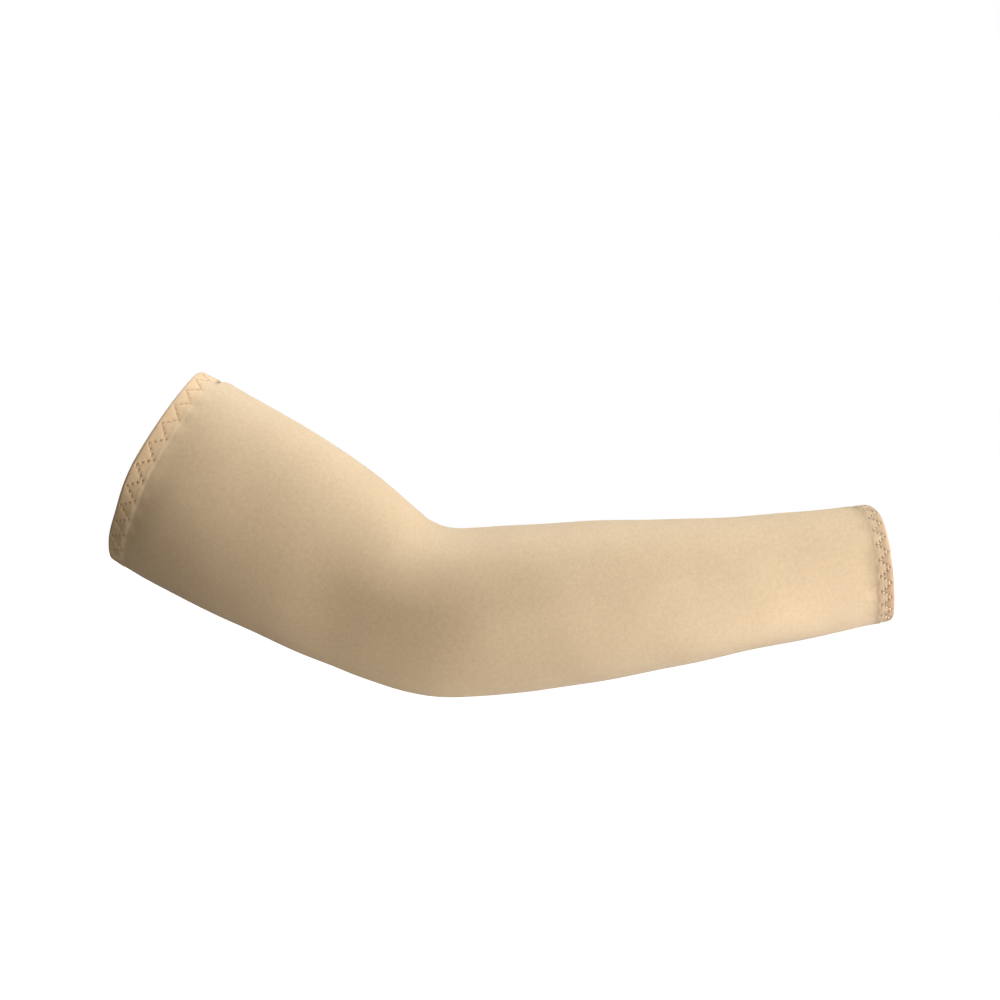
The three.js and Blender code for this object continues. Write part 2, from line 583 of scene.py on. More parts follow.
    def marks(self, share: Array, across: Array) -> dict[Mark, Array]:
        """Gives what the finish needs to know about points beside this rim.

        Args:
            share: Shares of a turn.
            across: Distances from the rim.

        Returns:
            Painted shade in the needle holes, painted shade along the folded rim, and the band's painted
            light at the upper rim and painted shade at the wrist.
        """
        # The fold's and the band's marks grow from shade_top at the top to full strength on the low side,
        # where the wrist's painted shade is deepest.
        low = between(self.shade_top, FULL, ease(HALF - np.cos(TURN * share)))
        faded = across - self.zigzag.inner - self.band_shift
        band = low * (FULL - ease(faded / self.band_fade + HALF))
        return {
            # Painted shade in the needle holes and in the seam's nick.
            Mark.HOLE_SHADE: self._hole_mark(share, across),
            # Painted shade along the folded rim.
            Mark.FOLD_SHADE: low * (FULL - ease(across / self.fold_shade_run)),
            # Painted light on the upper band and painted shade on the wrist band.
            Mark.UPPER: band * (self.rim is Rim.UPPER),
            Mark.WRIST: band * (self.rim is Rim.WRIST),
        }


class Bench:
    """The work bench: cloth is cut, rolled and sewn on it with Blender's own operators."""

    @staticmethod
    def take(piece: Piece) -> None:
        """Selects one piece alone, so that an operator acts on it only.

        Args:
            piece: The piece.
        """
        bpy.ops.object.select_all(action="DESELECT")
        piece.select_set(True)
        bpy.context.view_layer.objects.active = piece

    @staticmethod
    def cut_cloth(name: str, around: int, along: int) -> Piece:
        """Cuts a flat piece of cloth with a grid of threads.

        Args:
            name: Name of the piece.
            around: Number of faces across the cloth.
            along: Number of faces along it.

        Returns:
            The flat cloth, one metre square and centred on the origin.
        """
        bpy.ops.mesh.primitive_grid_add(x_subdivisions=around, y_subdivisions=along, size=FULL, calc_uvs=True)
        cloth = bpy.context.object
        cloth.name = name
        cloth.data.name = name
        return cloth

    @staticmethod
    def shares(cloth: Piece) -> tuple[Array, Array]:
        """Reads where each vertex lies on the flat cloth.

        Args:
            cloth: The flat cloth.

        Returns:
            Shares across the cloth and along it.
        """
        places = np.empty(len(cloth.data.vertices) * 3)
        cloth.data.vertices.foreach_get("co", places)
        places = places.reshape(-1, 3)
        return places[:, 0] + HALF, places[:, 1] + HALF

    @staticmethod
    def _write_uv(mesh: bpy.types.Mesh, cloth_uv: Array) -> None:
        """Writes each vertex's place on the real cloth to the corners that share it.

        Args:
            mesh: The mesh.
            cloth_uv: Place of each vertex, in metres.
        """
        corners = np.empty(len(mesh.loops), dtype=np.int32)
        mesh.loops.foreach_get("vertex_index", corners)
        mesh.uv_layers[CLOTH_UV].data.foreach_set("uv", cloth_uv[corners].ravel())
        mesh.update()

    @classmethod
    def lay(cls, cloth: Piece, points: Array, cloth_uv: Array) -> None:
        """Moves the cloth's vertices into place and writes its thread coordinates.

        Args:
            cloth: The cloth.
            points: New place of each vertex.
            cloth_uv: Place of each vertex on the real cloth, in metres.
        """
        cloth.data.vertices.foreach_set("co", points.ravel())
        cls._write_uv(cloth.data, cloth_uv)

    @staticmethod
    def mark(cloth: Piece, marks: dict[Mark, Array]) -> None:
        """Writes numbers on the vertices for the finish to read.

        Args:
            cloth: The cloth.
            marks: A number for each vertex, by mark.
        """
        for mark, values in marks.items():
            layer = cloth.data.attributes.new(mark.value, "FLOAT", "POINT")
            layer.data.foreach_set("value", values.astype(np.float32))

    @classmethod
    def sew_up(cls, cloth: Piece, close: bool = False, reach: float = 1e-6) -> None:
        """Joins edges that meet and turns every face outwards.

        Args:
            cloth: The cloth.
            close: Whether open ends are filled too.
            reach: How close two vertices lie to be joined.
        """
        cls.take(cloth)
        bpy.ops.object.mode_set(mode="EDIT")
        bpy.ops.mesh.select_all(action="SELECT")
        bpy.ops.mesh.remove_doubles(threshold=reach)
        if close:
            bpy.ops.mesh.select_all(action="DESELECT")
            bpy.ops.mesh.select_mode(type="EDGE")
            bpy.ops.mesh.select_non_manifold()
            bpy.ops.mesh.edge_face_add()
            bpy.ops.mesh.select_all(action="SELECT")
        bpy.ops.mesh.normals_make_consistent(inside=False)
        bpy.ops.object.mode_set(mode="OBJECT")

    @classmethod
    def smooth(cls, piece: Piece, crease: float = math.radians(55.0)) -> None:
        """Shades a piece smooth, but keeps its cut edges crisp."""
        cls.take(piece)
        bpy.ops.object.shade_smooth_by_angle(angle=crease)

    @classmethod
    def thicken(cls, cloth: Piece, wall: float) -> None:
        """Gives an open sheet its thickness, inwards from its outer face.

        Args:
            cloth: The sheet.
            wall: Its thickness.
        """
        cls.take(cloth)
        solid = cloth.modifiers.new("knit_wall", "SOLIDIFY")
        solid.thickness = wall
        solid.offset = -FULL
        bpy.ops.object.modifier_apply(modifier=solid.name)

    @classmethod
    def tubes(cls, name: str, runs: Array, radius: float, sides: int) -> Piece:
        """Makes many short lengths of thread as one mesh.

        Args:
            name: Name of the piece.
            runs: Array of thread runs, points and coordinates.
            radius: Radius of the thread.
            sides: Number of facets round it.

        Returns:
            The thread, with its length and turn as cloth coordinates.
        """
        count, points, _ = runs.shape
        heading = np.gradient(runs, axis=1)
        heading /= np.linalg.norm(heading, axis=2, keepdims=True)
        chord = runs[:, -1] - runs[:, 0]
        bulge = runs[:, points // 2] - HALF * (runs[:, 0] + runs[:, -1])
        across = np.cross(chord, bulge)
        across /= np.linalg.norm(across, axis=1, keepdims=True)
        side = np.repeat(across[:, None], points, axis=1)
        up = np.cross(side, heading)
        up /= np.linalg.norm(up, axis=2, keepdims=True)
        turn = np.arange(sides) * TURN / sides
        ring = np.cos(turn)[:, None] * up[:, :, None] + np.sin(turn)[:, None] * side[:, :, None]
        places = (runs[:, :, None] + radius * ring).reshape(-1, 3)
        index = np.arange(count * points * sides).reshape(count, points, sides)
        after = np.roll(index, -1, axis=2)
        walls = np.stack([index[:, :-1], after[:, :-1], after[:, 1:], index[:, 1:]], axis=-1).reshape(-1, 4)
        starts = index[:, 0, ::-1].reshape(-1, sides)
        ends = index[:, -1].reshape(-1, sides)
        mesh = bpy.data.meshes.new(name)
        mesh.from_pydata(places.tolist(), [], walls.tolist() + starts.tolist() + ends.tolist())
        uv = np.empty((count, points, sides, 2))
        uv[..., 0] = run_so_far(np.linalg.norm(np.diff(runs, axis=1), axis=2))[:, :, None]
        uv[..., 1] = turn * radius
        mesh.uv_layers.new(name=CLOTH_UV)
        cls._write_uv(mesh, uv.reshape(-1, 2))
        thread = bpy.data.objects.new(name, mesh)
        bpy.context.scene.collection.objects.link(thread)
        return thread


class Wire:
    """A shader value that takes part in Python sums."""

    def __init__(self, board: "Board", socket: bpy.types.NodeSocket) -> None:
        """Keeps the board and the socket that the value comes from."""
        self.board = board
        self.socket = socket

    def _sum(self, operation: str, first: "Wire | float", second: "Wire | float") -> "Wire":
        """Adds one Math node for an operation on two values."""
        return self.board.node("ShaderNodeMath", {"operation": operation}, {0: first, 1: second})

    def __add__(self, other: "Wire | float") -> "Wire":
        """Adds a value."""
        return self._sum("ADD", self, other)

    def __radd__(self, other: float) -> "Wire":
        """Adds this to a number."""
        return self._sum("ADD", other, self)

    def __sub__(self, other: "Wire | float") -> "Wire":
        """Takes a value away."""
        return self._sum("SUBTRACT", self, other)

    def __rsub__(self, other: float) -> "Wire":
        """Takes this away from a number."""
        return self._sum("SUBTRACT", other, self)

    def __mul__(self, other: "Wire | float") -> "Wire":
        """Multiplies by a value."""
        return self._sum("MULTIPLY", self, other)

    def __rmul__(self, other: float) -> "Wire":
        """Multiplies a number by this."""
        return self._sum("MULTIPLY", other, self)

    def fract(self) -> "Wire":
        """Keeps the part after the point."""
        return self._sum("FRACT", self, 0.0)

    def absolute(self) -> "Wire":
        """Drops the sign."""
        return self._sum("ABSOLUTE", self, 0.0)

    def sine(self) -> "Wire":
        """Takes the sine."""
        return self._sum("SINE", self, 0.0)


class Board:
    """The node board of a material or of the room."""

    MIX_FACTOR, MIX_FIRST, MIX_SECOND, MIX_COLOUR = 0, 6, 7, 2
    NOISE_DETAIL = 2.0

    def __init__(self, holder: bpy.types.Material | bpy.types.World) -> None:
        """Starts with a bare board.

        Args:
            holder: The material or the room.
        """
        holder.use_nodes = True
        self.holder = holder
        self.tree = holder.node_tree
        self.tree.nodes.clear()

    def _feed(self, socket: bpy.types.NodeSocket, value: object) -> None:
        """Links a wire to a socket or sets its value.

        Args:
            socket: The input.
            value: A wire, a number, a colour or a vector.
        """
        if isinstance(value, Wire):
            self.tree.links.new(value.socket, socket)
        else:
            socket.default_value = value

    def node(self, kind: str, settings: dict[str, object], sockets: dict, output: int | str = 0) -> Wire:
        """Adds any node.

        Args:
            kind: Blender's name of the node type.
            settings: Properties that are set first.
            sockets: Values or wires for its inputs, by name or number.
            output: Output that the wire comes from.

        Returns:
            The wire from that output.
        """
        made = self.tree.nodes.new(kind)
        for key, value in settings.items():
            setattr(made, key, value)
        for key, value in sockets.items():
            self._feed(made.inputs[key], value)
        return Wire(self, made.outputs[output])

    def split(self, vector: Wire) -> tuple[Wire, Wire]:
        """Gives a vector's first two parts."""
        first = self.node("ShaderNodeSeparateXYZ", {}, {0: vector})
        return first, Wire(self, first.socket.node.outputs[1])

    def blend(self, factor: Wire | float, first: object, second: object) -> Wire:
        """Mixes two colours by a factor."""
        sockets = {self.MIX_FACTOR: factor, self.MIX_FIRST: first, self.MIX_SECOND: second}
        return self.node("ShaderNodeMix", {"data_type": "RGBA"}, sockets, self.MIX_COLOUR)

    def cloth(self) -> Wire:
        """Reads the place on the real cloth, in metres."""
        return self.node("ShaderNodeUVMap", {"uv_map": CLOTH_UV}, {})

    def noise(self, vector: Wire, scale: float, dimensions: str = "2D") -> Wire:
        """Adds a soft noise over a vector."""
        sockets = {"Vector": vector, "Scale": scale, "Detail": self.NOISE_DETAIL}
        return self.node("ShaderNodeTexNoise", {"noise_dimensions": dimensions}, sockets)

    def bump(self, strength: float, distance: float, height: Wire) -> Wire:
        """Turns a height into a bumpy normal."""
        sockets = {"Strength": strength, "Distance": distance, "Height": height}
        return self.node("ShaderNodeBump", {}, sockets)

    def read(self, mark: Mark) -> Wire:
        """Reads a mark from the cloth."""
        return self.node("ShaderNodeAttribute", {"attribute_name": mark.value}, {}, "Fac")

    def finish(self, shader: Wire, output: str) -> None:
        """Wires a shader to a new output node."""
        made = self.tree.nodes.new(output)
        self.tree.links.new(shader.socket, made.inputs["Surface"])

    def surface(self, sockets: dict[str, object]) -> bpy.types.Material:
        """Adds the main shader and gives the finished material."""
        self.finish(self.node("ShaderNodeBsdfPrincipled", {}, sockets), "ShaderNodeOutputMaterial")
        return self.holder


@dataclass(frozen=True)
class KnitFinish:
    """Fine stretch jersey: columns of small V stitches, a soft mottle and a faint sheen."""

    name: str
    light: Colour
    dark: Colour
    # Band colours: the same knit with painted light on the upper band and painted shade on the wrist band.
    band_lit_shaded_light: dict[Mark, Colour] = field(default_factory=dict)
    band_lit_shaded_dark: dict[Mark, Colour] = field(default_factory=dict)
    # Painted shade: colour and strength of the darkening in the needle holes and the seam's nick.
    hole_shade_colour: Colour = (0.17, 0.115, 0.066, 1.0)
    hole_shade: float = 0.85
    # Painted shade along the folded rim: its colour and strength.
    fold_shade_colour: Colour = (0.44, 0.275, 0.160, 1.0)
    fold_shade: float = 0.95
    # Columns of stitches
    wale: float = 0.00062
    course: float = 0.00050
    slant: float = 0.55
    loop_height: float = 0.45
    rib_height: float = 0.35
    leg_height: float = 0.30
    mottle_height: float = 0.50
    stitch_bump: float = 0.00010
    bump_strength: float = 0.55
    # Noises and tones, with painted shade in the knit's hollows
    grain_scale: float = 1100.0
    mottle_scale: float = 420.0
    cloud_scale: float = 55.0
    middle_tone: float = 0.50
    stitch_height: float = 0.55
    stitch_hollow_shade: float = 0.42
    grain_tone: float = 1.10
    mottle_tone: float = 0.85
    cloud_tone: float = 0.40
    # Gloss
    roughness: float = 0.66
    roughness_spread: float = 0.12
    sheen: float = 0.18
    sheen_roughness: float = 0.45
    specular: float = 0.28

    def _with_band_light_and_shade(self, board: Board, colour: object, bands: dict[Mark, Colour]) -> object:
        """Paints light into the colour along the upper band and shade along the wrist band.

        Args:
            board: The material's board.
            colour: Colour of the single cloth.
            bands: Colour of each band, with painted light at the upper rim and painted shade at the wrist.

        Returns:
            The colour anywhere on the cloth.
        """
        for mark, tint in bands.items():
            colour = board.blend(board.read(mark), colour, tint)
        return colour

    def material(self, marked: bool) -> bpy.types.Material:
        """Builds the material.

        Args:
            marked: Whether the cloth carries marks.

        Returns:
            The knit material.
        """
        board = Board(bpy.data.materials.new(self.name))
        cloth = board.cloth()
        across, along = board.split(cloth)
        from_middle = ((across * (FULL / self.wale)).fract() - HALF).absolute() * 2.0
        row = along * (FULL / self.course) + from_middle * self.slant
        loops = (row * TURN).sine() * HALF + HALF
        rib = FULL - from_middle * from_middle
        legs = FULL - (from_middle * 2.0 - FULL).absolute()
        height = loops * self.loop_height + rib * self.rib_height + legs * self.leg_height
        scales = (self.grain_scale, self.mottle_scale, self.cloud_scale)
        grain, mottle, cloud = (board.noise(cloth, scale) for scale in scales)
        # Painted shade: the knit's low relief, between its loops and columns, gets a darker tone.
        tone = (height - self.stitch_height) * self.stitch_hollow_shade + self.middle_tone
        tone = tone + (grain - HALF) * self.grain_tone
        tone = tone + (mottle - HALF) * self.mottle_tone + (cloud - HALF) * self.cloud_tone
        light, dark = self.light, self.dark
        # Painted light on the upper band and painted shade on the wrist band.
        if marked:
            light = self._with_band_light_and_shade(board, light, self.band_lit_shaded_light)
            dark = self._with_band_light_and_shade(board, dark, self.band_lit_shaded_dark)
        colour = board.blend(tone, dark, light)
        if marked:
            # Painted shade along the folded rim.
            colour = board.blend(board.read(Mark.FOLD_SHADE) * self.fold_shade, colour, self.fold_shade_colour)
            # Painted shade in the needle holes and in the seam's nick.
            colour = board.blend(board.read(Mark.HOLE_SHADE) * self.hole_shade, colour, self.hole_shade_colour)
        relief = height + mottle * self.mottle_height
        return board.surface({
            "Base Color": colour,
            "Roughness": mottle * self.roughness_spread + (self.roughness - HALF * self.roughness_spread),
            "Normal": board.bump(self.bump_strength, self.stitch_bump, relief),
            "Sheen Weight": self.sheen,
            "Sheen Roughness": self.sheen_roughness,
            "Specular IOR Level": self.specular,
        })


@dataclass(frozen=True)
class ThreadFinish:
    """Plied sewing thread: slanting strands, with painted light on their crowns and painted shade between
    them.
    """

    name: str
    light: Colour
    dark: Colour
    ply: float = 0.00042
    ply_bump: float = 0.00005
    bump_strength: float = 0.6
    strand_light_shade: float = 0.6
    fuzz_scale: float = 2400.0
    fuzz_tone: float = 0.5
    low_tone: float = -0.1
    roughness: float = 0.55
    roughness_spread: float = 0.2
    sheen: float = 0.15

    def material(self) -> bpy.types.Material:
        """Builds the material.

        Returns:
            The thread material.
        """
        board = Board(bpy.data.materials.new(self.name))
        cloth = board.cloth()
        along, around = board.split(cloth)
        strands = ((along + around) * (TURN / self.ply)).sine() * HALF + HALF
        fuzz = board.noise(cloth, self.fuzz_scale)
        # Painted light on the strands' crowns and painted shade between them.
        tone = strands * self.strand_light_shade + fuzz * self.fuzz_tone + self.low_tone
        return board.surface({
            "Base Color": board.blend(tone, self.dark, self.light),
            "Roughness": fuzz * self.roughness_spread + (self.roughness - HALF * self.roughness_spread),
            "Normal": board.bump(self.bump_strength, self.ply_bump, strands),
            "Sheen Weight": self.sheen,
        })


@dataclass(frozen=True)
class FloorFinish:
    """Plain pale studio floor."""

    name: str = "pale_floor"
    colour: Colour = (0.92, 0.92, 0.92, 1.0)
    glow_strength: float = 1.0
    roughness: float = 0.9
    roughness_spread: float = 0.1
    grain_scale: float = 40.0

    def material(self) -> bpy.types.Material:
        """Builds the material.

        Returns:
            The floor material.
        """
        board = Board(bpy.data.materials.new(self.name))
        place = board.node("ShaderNodeTexCoord", {}, {}, "Object")
        grain = board.noise(place, self.grain_scale, "3D")
        return board.surface({
            "Base Color": self.colour,
            "Roughness": grain * self.roughness_spread + (self.roughness - HALF * self.roughness_spread),
            "Emission Color": WHITE,
            "Emission Strength": self.glow_strength,
        })


def dress_piece(piece: Piece, material: bpy.types.Material, node: str) -> Piece:
    """Smooths and dresses a piece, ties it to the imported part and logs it.

    Args:
        piece: The shaped piece.
        material: Its finish.
        node: CAD node that it stands for.

    Returns:
        The same piece.
    """
    Bench.smooth(piece)
    piece.data.materials.append(material)
    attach(piece, BODY)
    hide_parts(node)
    LOG.info("%s stands for %s with %d faces", piece.name, node, len(piece.data.polygons))
    return piece


@dataclass
class KnitPanel:
    """The body of the sleeve: one cut of knit, rolled up and closed along the inner-elbow side."""

    form: ArmForm
    upper: HemShape
    wrist: HemShape
    finish: KnitFinish
    wall: float = 0.001
    around: int = 252
    along: int = 156
    crowd: float = 0.6
    end_crowd: float = 0.72
    # Gathers, waves and how soon they start
    gather: float = 0.00034
    gather_run: float = 0.017
    gather_counts: tuple[int, ...] = (7, 11, 17)
    wave: float = 0.00010
    wave_length: float = 0.046
    wave_mix: tuple[tuple[float, float], ...] = ((1.0, 2.0), (0.61, -3.0), (0.0, 5.0))
    settle: float = 0.006
    # Seam that shows through, and its knot
    seam_ridge: float = 0.00018
    seam_ridge_offset: float = 0.0026
    seam_ridge_width: float = 0.0016
    knot: float = 0.00075
    knot_offset: float = 0.0030
    knot_run: float = 0.0060
    knot_width: float = 0.0080
    knot_rise: float = 0.0008
    # Flat cloth
    flat_upper: float = 0.255
    flat_wrist: float = 0.145
    flat_length: float = 0.375

    def _crowded(self, share: Array, amount: float) -> Array:
        """Moves evenly spread shares closer together at both ends."""
        return share - amount * np.sin(TURN * share) / TURN

    def _gathers(self, share: Array, gone: Array) -> Array:
        """Gives the longer soft gathers that run back from the wrist hem."""
        folds = sum(np.cos(TURN * count * share + count) for count in self.gather_counts)
        return self.gather * folds / len(self.gather_counts) * np.exp(-np.abs(gone) / self.gather_run)

    def _seam_relief(self, share: Array, at: Array) -> Array:
        """Gives the allowance that shows through the knit, and the knot beside the upper hem.

        Args:
            share: Shares of a turn.
            at: Places along the centre line.

        Returns:
            Heights over the form.
        """
        off = from_seam(share) * self.form.girth(at)
        gone = at - self.upper.depth
        ridge = self.seam_ridge * bell(off - self.seam_ridge_offset, self.seam_ridge_width)
        knot = self.knot * bell(gone - self.knot_offset, self.knot_run) * bell(off, self.knot_width)
        return ridge * ease(gone / self.knot_offset) + knot * ease(gone / self.knot_rise)

    def _waves(self, share: Array, at: Array) -> Array:
        """Gives the slight unevenness of cloth drawn over a form.

        Args:
            share: Shares of a turn.
            at: Places along the centre line.

        Returns:
            Heights: a few waves, each with its own beat along the arm and round it.
        """
        run = TURN * at / self.wave_length
        turn = TURN * share
        return self.wave * sum(np.sin(along * run + around * turn) for along, around in self.wave_mix)

    def build(self) -> Piece:
        """Cuts, rolls, sews and dresses the panel.

        Returns:
            The finished panel.
        """
        cloth = Bench.cut_cloth("knit_panel", self.around, self.along)
        across, along = Bench.shares(cloth)
        share = self._crowded(across, self.crowd)
        first = self.upper.depth
        last = self.form.length - self.wrist.depth
        at = between(first, last, self._crowded(along, self.end_crowd))
        far = at > HALF * self.form.length
        lift = np.where(far, self.wrist.skin(share, self.form.length - at), self.upper.skin(share, at))
        loose = ease((at - first) / self.settle) * ease((last - at) / self.settle)
        lift = lift + loose * (self._gathers(share, last - at) + self._waves(share, at))
        lift = lift + self._seam_relief(share, at)
        cloth_uv = np.stack([(share - HALF) * self.form.girth(at), at], axis=-1)
        Bench.lay(cloth, self.form.place(at, share, lift), cloth_uv)
        upper_marks = self.upper.marks(share, at)
        wrist_marks = self.wrist.marks(share, self.form.length - at)
        Bench.mark(cloth, {mark: np.where(far, wrist_marks[mark], upper_marks[mark]) for mark in Mark})
        Bench.sew_up(cloth)
        Bench.thicken(cloth, self.wall)
        return dress_piece(cloth, self.finish.material(marked=True), "sleeve_panel")


@dataclass
class TurnedHem:
    """A hem: cloth folded in at the rim and sewn down with a zigzag."""

    shape: HemShape
    finish: KnitFinish
    thread_finish: ThreadFinish
    around: int
    thread_rise: float
    # Rows of faces across the band
    outer_rows: int = 32
    fold_rows: int = 10
    inner_rows: int = 24
    # Zigzag thread
    thread_radius: float = 0.00028
    thread_sides: int = 6
    thread_points: int = 7
    thread_sink: float = 0.00042
    thread_clear: float = 0.12

    def _outline(self) -> tuple[Array, Array, Array]:
        """Works out the hem's closed outline across the band.

        Returns:
            Distances from the rim, shares of the way in from the outer to the inner face, and cloth lengths.
        """
        hem = self.shape
        radius = HALF * hem.layers
        face = np.linspace(hem.depth, radius, self.outer_rows + 1)[:-1]
        fold = np.linspace(0.0, math.pi, self.fold_rows + 1)
        back = np.linspace(radius, hem.depth + hem.lap, self.inner_rows + 1)[1:]
        under = FULL - hem.turned / hem.layers
        across = np.concatenate([
            face, radius * (FULL - np.sin(fold)), back, [hem.depth + hem.lap, hem.depth, hem.depth],
        ])
        inward = np.concatenate([
            np.zeros_like(face), HALF * (FULL - np.cos(fold)), np.ones_like(back), [under, under, 0.0],
        ])
        steps = np.hypot(np.diff(across), hem.layers * np.diff(inward))
        return across, inward, hem.depth - run_so_far(steps)

    def build(self) -> Piece:
        """Cuts, folds, sews and dresses the hem.

        Returns:
            The finished hem.
        """
        hem = self.shape
        across_row, inward_row, length_row = self._outline()
        cloth = Bench.cut_cloth(f"{hem.rim.value}_hem_fold", self.around, len(across_row) - 1)
        share, along = Bench.shares(cloth)
        row = np.rint(along * (len(across_row) - 1)).astype(int)
        across = across_row[row]
        inward = inward_row[row]
        lift = hem.skin(share, across) * (FULL - inward) + hem.lining(share, across) * inward
        at = hem.at(across)
        cloth_uv = np.stack([(share - HALF) * hem.form.girth(at), hem.at(length_row[row])], axis=-1)
        Bench.lay(cloth, hem.form.place(at, share, lift), cloth_uv)
        Bench.mark(cloth, hem.marks(share, across))
        Bench.sew_up(cloth)
        return dress_piece(cloth, self.finish.material(marked=True), f"{hem.rim.value}_hem")

    def _stitches(self, side: Side) -> Array:
        """Lays the thread of every stitch on one face of the hem.

        Args:
            side: Face of the hem.

        Returns:
            Runs of points, one for each stitch.
        """
        hem = self.shape
        share, across = hem.zigzag.holes()
        step = np.linspace(0.0, FULL, self.thread_points)
        covered = between(self.thread_clear, FULL - self.thread_clear, step)
        share_run = share[:-1, None] + np.diff(share)[:, None] * covered
        across_run = across[:-1, None] + np.diff(across)[:, None] * covered
        rise = between(-self.thread_sink, self.thread_rise, stitch_arch(step))
        share_run = np.mod(share_run, FULL)
        if side is Side.OUTSIDE:
            lift = hem.bed(share_run, across_run) + rise
        else:
            lift = hem.lining_bed(share_run, across_run) - rise
        points = hem.form.place(hem.at(across_run.ravel()), share_run.ravel(), lift.ravel())
        return points.reshape(*share_run.shape, 3)

    def sew(self) -> Piece:
        """Sews the zigzag through the hem.

        Returns:
            The thread, outside and inside.
        """
        node = f"{self.shape.rim.value}_hem"
        runs = np.concatenate([self._stitches(side) for side in Side])
        thread = Bench.tubes(f"{node}_zigzag", runs, self.thread_radius, self.thread_sides)
        return dress_piece(thread, self.thread_finish.material(), node)


@dataclass
class LongSeam:
    """The lengthwise seam: a trimmed allowance lying flat inside, bound with looped thread."""

    form: ArmForm
    upper: HemShape
    wrist: HemShape
    finish: KnitFinish
    thread_finish: ThreadFinish
    # Allowance
    width: float = 0.006
    thickness: float = 0.0013
    flatness: float = 0.42
    under: float = 0.0011
    clear: float = 0.0003
    around: int = 20
    along: int = 260
    ripple: float = 0.00025
    ripple_length: float = 0.0042
    # Binding loops and straight rows of stitches
    loop_pitch: float = 0.0022
    loop_radius: float = 0.00016
    loop_points: int = 8
    loop_sides: int = 5
    loop_start: float = 1.04 * math.pi
    loop_sweep: float = 0.92 * math.pi
    line_rows: tuple[float, ...] = (-0.34, 0.06)
    line_rise: float = 0.00022

    @property
    def _ends(self) -> tuple[float, float]:
        """Works out where the allowance starts and stops.

        Returns:
            Its first and last place along the centre line.
        """
        first = self.upper.depth + self.upper.lap + self.clear
        last = self.form.length - self.wrist.depth - self.wrist.lap - self.clear
        return first, last

    def _round_section(self, turn: Array) -> tuple[Array, Array]:
        """Gives the allowance's flat oval section.

        Args:
            turn: Angles round the section.

        Returns:
            Offsets across the seam and heights.
        """
        wide = np.sign(np.cos(turn)) * np.power(np.abs(np.cos(turn)), self.flatness)
        high = np.sign(np.sin(turn)) * np.power(np.abs(np.sin(turn)), self.flatness)
        return HALF * self.width * wide, HALF * self.thickness * high

    def _place(self, at: Array, off: Array | float, height: Array) -> Array:
        """Puts points of the allowance inside the panel.

        Args:
            at: Places along the centre line.
            off: Offsets across the seam, or one for all.
            height: Heights over the allowance's middle.

        Returns:
            An array of points.
        """
        share = np.mod(off / self.form.girth(at), FULL)
        middle = -self.under - HALF * self.thickness
        wavy = self.ripple * np.sin(TURN * at / self.ripple_length) * np.abs(off) / self.width
        return self.form.place(at, share, middle + height - np.abs(wavy))

    def build(self) -> Piece:
        """Cuts, lays and dresses the allowance.

        Returns:
            The finished allowance.
        """
        cloth = Bench.cut_cloth("seam_allowance_strip", self.around, self.along)
        turn, along = Bench.shares(cloth)
        at = between(*self._ends, along)
        off, height = self._round_section(TURN * turn)
        cloth_uv = np.stack([off, at], axis=-1)
        Bench.lay(cloth, self._place(at, off, height), cloth_uv)
        Bench.sew_up(cloth, close=True)
        return dress_piece(cloth, self.finish.material(marked=False), "seam_allowance")

    def _steps(self) -> tuple[Array, Array]:
        """Spaces the stitches along the allowance.

        Returns:
            Shares of a stitch, and the place of each along the centre line, a row for each stitch.
        """
        first, last = self._ends
        count = int((last - first) / self.loop_pitch) - 1
        start = first + self.loop_pitch * (np.arange(count) + HALF)
        step = np.linspace(0.0, FULL, self.loop_points)
        return step, start[:, None] + self.loop_pitch * step

    def _loops(self) -> Array:
        """Lays the thread loops that bind the allowance's edges.

        Returns:
            Runs of points, one for each loop.
        """
        step, at = self._steps()
        off, height = self._round_section(self.loop_start + self.loop_sweep * step)
        grow = FULL + self.loop_radius / self.thickness
        return self._place(at, off * grow, height * grow - self.loop_radius)

    def _lines(self) -> Array:
        """Lays the two straight rows of stitches along the allowance.

        Returns:
            Runs of points, one for each stitch.
        """
        step, at = self._steps()
        height = -HALF * self.thickness - self.line_rise * stitch_arch(step)
        return np.concatenate([self._place(at, row * self.width, height) for row in self.line_rows])

    def sew(self) -> Piece:
        """Binds the allowance with looped thread.

        Returns:
            The thread.
        """
        runs = np.concatenate([self._loops(), self._lines()])
        thread = Bench.tubes("seam_allowance_thread", runs, self.loop_radius, self.loop_sides)
        return dress_piece(thread, self.thread_finish.material(), "seam_allowance")


@dataclass(frozen=True)
class SoftLamp:
    """A square studio lamp that points at the sleeve."""

    name: str
    place: Place
    size: float
    power: float
    colour: tuple[float, float, float]
    aim: Place = (0.17, 0.0, -0.05)

    def build(self) -> None:
        """Hangs the lamp and aims it."""
        bpy.ops.object.light_add(type="AREA", location=self.place)
        lamp = bpy.context.object
        lamp.name = self.name
        lamp.data.shape = "SQUARE"
        lamp.data.size = self.size
        lamp.data.energy = self.power
        lamp.data.color = self.colour
        heading = Vector(self.aim) - Vector(self.place)
        lamp.rotation_euler = heading.to_track_quat("-Z", "Y").to_euler()
        lamp.visible_camera = False


